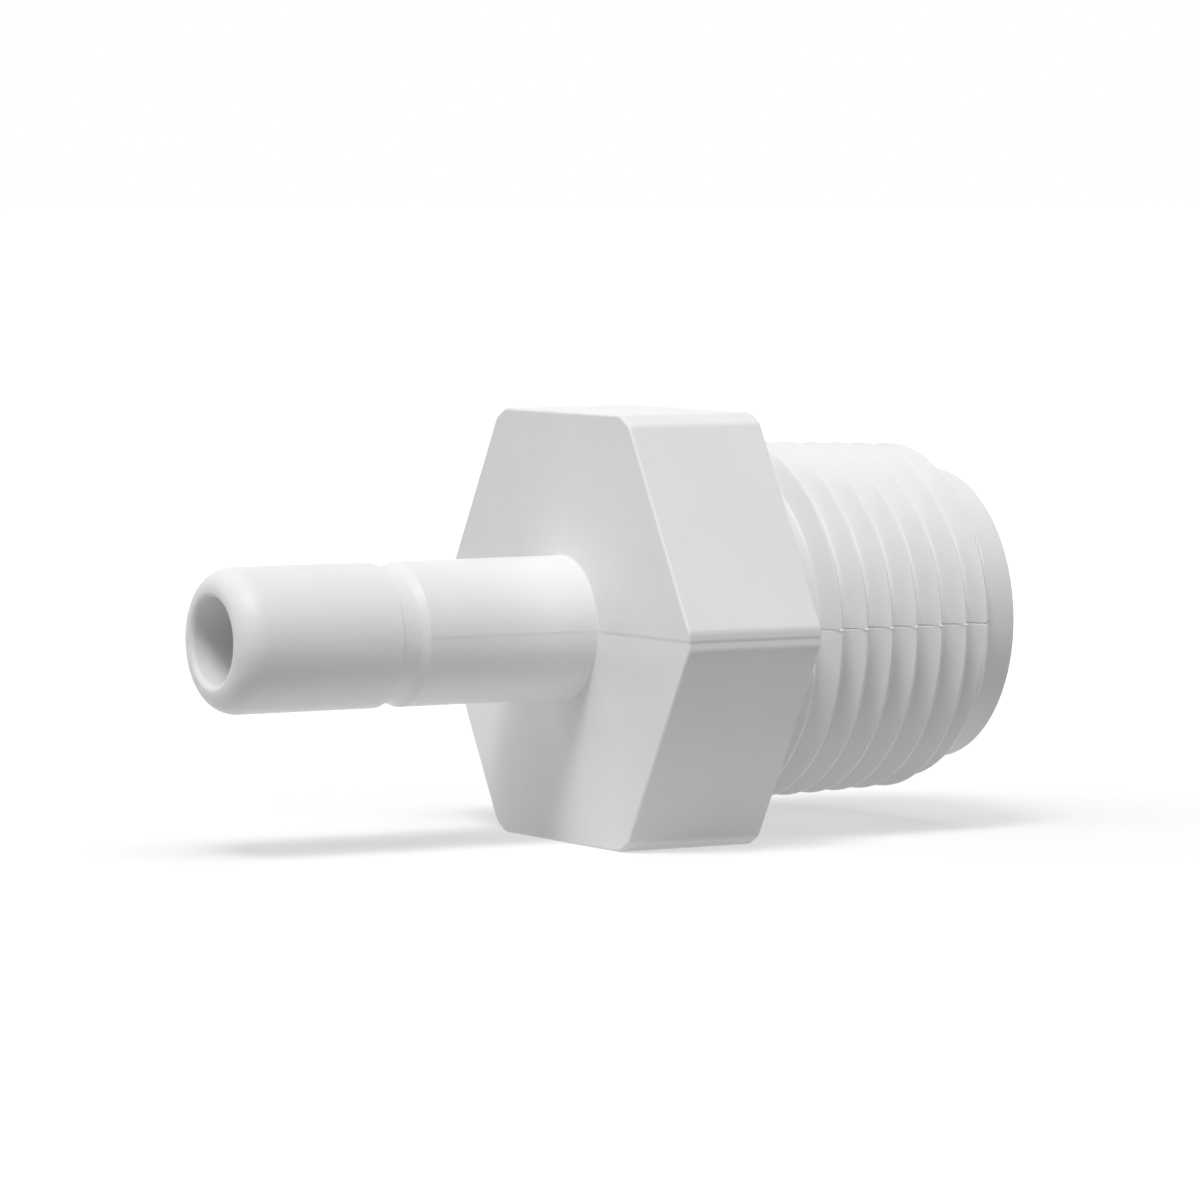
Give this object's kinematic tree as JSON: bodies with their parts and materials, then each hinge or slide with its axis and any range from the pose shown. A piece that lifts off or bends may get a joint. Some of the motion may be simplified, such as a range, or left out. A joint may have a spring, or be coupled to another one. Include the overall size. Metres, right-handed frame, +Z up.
{
  "type": "stem adapter",
  "caption": "One-piece white plastic pipe adapter: plain tube stem with a groove, wrench hexagon and tapered male pipe thread on one hollow axis.",
  "frame": {"origin": "on the flow axis, at the face of the hexagon that the stem stands on", "axes": "+X along the flow axis towards the threaded end, the stem towards -X, +Z up, square to the hexagon's top and bottom flats"},
  "size_m": [0.0371, 0.0216, 0.019],
  "materials": {
    "white_plastic": "satin"
  },
  "bodies": {
    "root": {"adapter_body": "white_plastic"}
  },
  "joints": []
}
